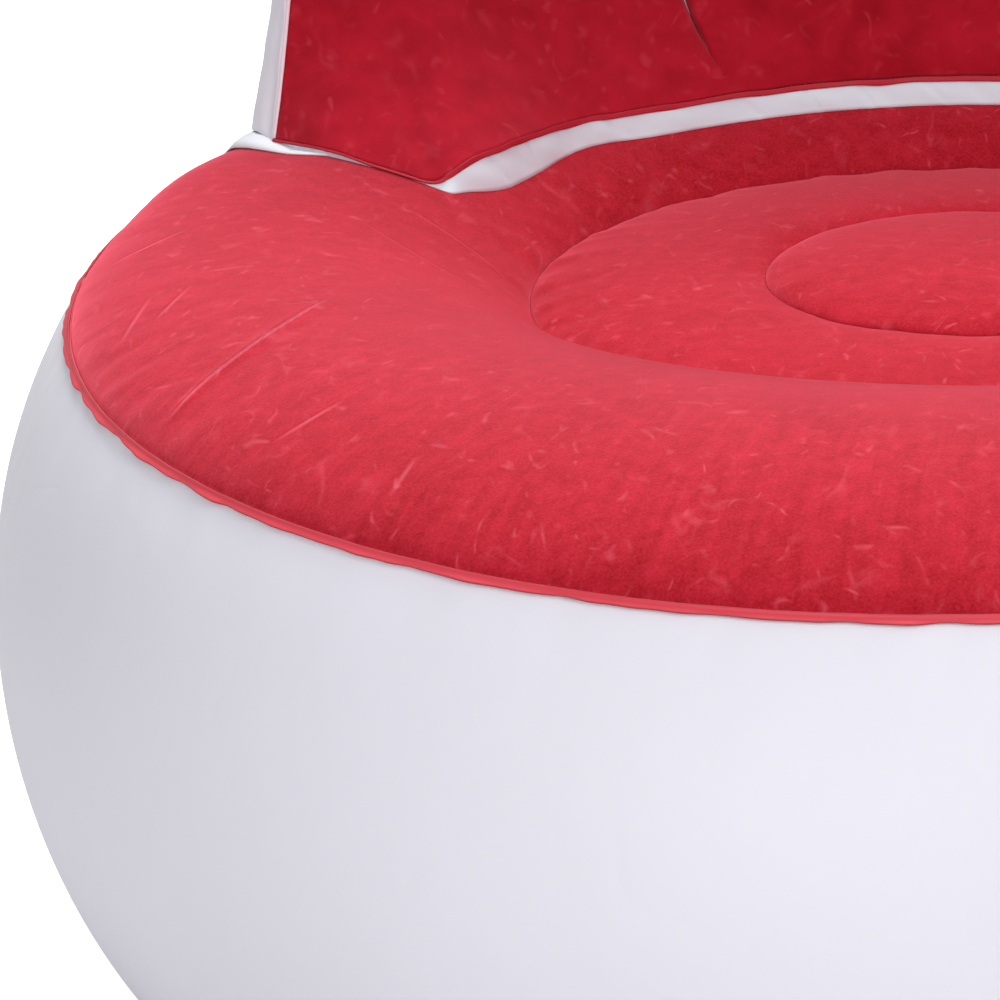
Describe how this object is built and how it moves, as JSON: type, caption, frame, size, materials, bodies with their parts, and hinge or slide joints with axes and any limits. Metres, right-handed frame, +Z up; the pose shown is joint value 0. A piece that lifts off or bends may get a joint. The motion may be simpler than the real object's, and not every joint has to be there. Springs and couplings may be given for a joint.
{
  "type": "inflatable chair",
  "caption": "Inflatable lounge chair: oval air base with a round ring seat, a wrap-round air backrest with tension beams, and tethered screw valves.",
  "frame": {"origin": "on the floor under the centre of the seat's two round weld rings", "axes": "+Z up, +Y towards the backrest, so that the sitter faces -Y, +X on the right of someone facing +Y"},
  "size_m": [0.8358, 0.9672, 0.7656],
  "materials": {
    "red_flock": "flocked vinyl, velvety",
    "white_vinyl": "satin vinyl sheet",
    "milky_vinyl": "milky vinyl sheet",
    "soft_valve_vinyl": "soft moulded vinyl",
    "valve_plastic": "hard moulded plastic",
    "seal_rubber": "soft grey rubber"
  },
  "bodies": {
    "chair": {"seat_top_panel": "red_flock", "base_side_wall": "white_vinyl", "base_bottom_panel": "white_vinyl", "outer_seat_band": "milky_vinyl", "inner_seat_band": "milky_vinyl", "backrest_foot_panel": "white_vinyl", "backrest_front_gusset": "white_vinyl", "backrest_front_panel": "red_flock", "backrest_rear_panel": "white_vinyl", "backrest_edge_band": "white_vinyl", "backrest_left_beam": "milky_vinyl", "backrest_centre_beam": "milky_vinyl", "backrest_right_beam": "milky_vinyl", "base_valve_housing": "soft_valve_vinyl", "back_valve_housing": "soft_valve_vinyl"},
    "base_insert_rise": {"base_insert_seal": "seal_rubber"},
    "base_insert": {"base_valve_insert": "valve_plastic"},
    "base_flap": {"base_check_flap": "seal_rubber"},
    "base_cap_rise": {"base_cap_seal": "seal_rubber", "base_cap_tether": "soft_valve_vinyl"},
    "base_cap": {"base_valve_cap": "valve_plastic"},
    "back_insert_rise": {"back_insert_seal": "seal_rubber"},
    "back_insert": {"back_valve_insert": "valve_plastic"},
    "back_flap": {"back_check_flap": "seal_rubber"},
    "back_cap_rise": {"back_cap_seal": "seal_rubber", "back_cap_tether": "soft_valve_vinyl"},
    "back_cap": {"back_valve_cap": "valve_plastic"}
  },
  "joints": [
    {"name": "base_insert_lift", "type": "slide", "parent": "chair", "child": "base_insert_rise", "axis": [0, 1, 0], "range_m": [0, 0.0061]},
    {"name": "base_insert_turn", "type": "hinge", "parent": "base_insert_rise", "child": "base_insert", "pos_m": [0, 0.43158, 0.20912], "axis": [0, 1, 0], "range_deg": [0, 540]},
    {"name": "base_flap_hinge", "type": "hinge", "parent": "base_insert", "child": "base_flap", "pos_m": [0, 0.42138, 0.21962], "axis": [-1, 0, 0], "range_deg": [0, 60], "stiffness_Nm_per_rad": 0.0005},
    {"name": "base_cap_lift", "type": "slide", "parent": "base_insert", "child": "base_cap_rise", "axis": [0, 1, 0], "range_m": [0, 0.0051]},
    {"name": "base_cap_turn", "type": "hinge", "parent": "base_cap_rise", "child": "base_cap", "pos_m": [0, 0.43158, 0.20912], "axis": [0, 1, 0], "range_deg": [0, 600]},
    {"name": "back_insert_lift", "type": "slide", "parent": "chair", "child": "back_insert_rise", "axis": [0.1806, 0.9284, -0.3246], "range_m": [0, 0.0061]},
    {"name": "back_insert_turn", "type": "hinge", "parent": "back_insert_rise", "child": "back_insert", "pos_m": [0.08037, 0.41003, 0.45522], "axis": [0.1806, 0.9284, -0.3246], "range_deg": [0, 540]},
    {"name": "back_flap_hinge", "type": "hinge", "parent": "back_insert", "child": "back_flap", "pos_m": [0.07917, 0.4039, 0.46847], "axis": [-0.9816, 0.1909, 0], "range_deg": [0, 60], "stiffness_Nm_per_rad": 0.0005},
    {"name": "back_cap_lift", "type": "slide", "parent": "back_insert", "child": "back_cap_rise", "axis": [0.1806, 0.9284, -0.3246], "range_m": [0, 0.0051]},
    {"name": "back_cap_turn", "type": "hinge", "parent": "back_cap_rise", "child": "back_cap", "pos_m": [0.08037, 0.41003, 0.45522], "axis": [0.1806, 0.9284, -0.3246], "range_deg": [0, 600]}
  ],
  "couplings": [
    {"joint": "base_insert_lift", "follows": "base_insert_turn", "m_per_rad": 0.00063662},
    {"joint": "base_cap_lift", "follows": "base_cap_turn", "m_per_rad": 0.00047746},
    {"joint": "back_insert_lift", "follows": "back_insert_turn", "m_per_rad": 0.00063662},
    {"joint": "back_cap_lift", "follows": "back_cap_turn", "m_per_rad": 0.00047746}
  ]
}
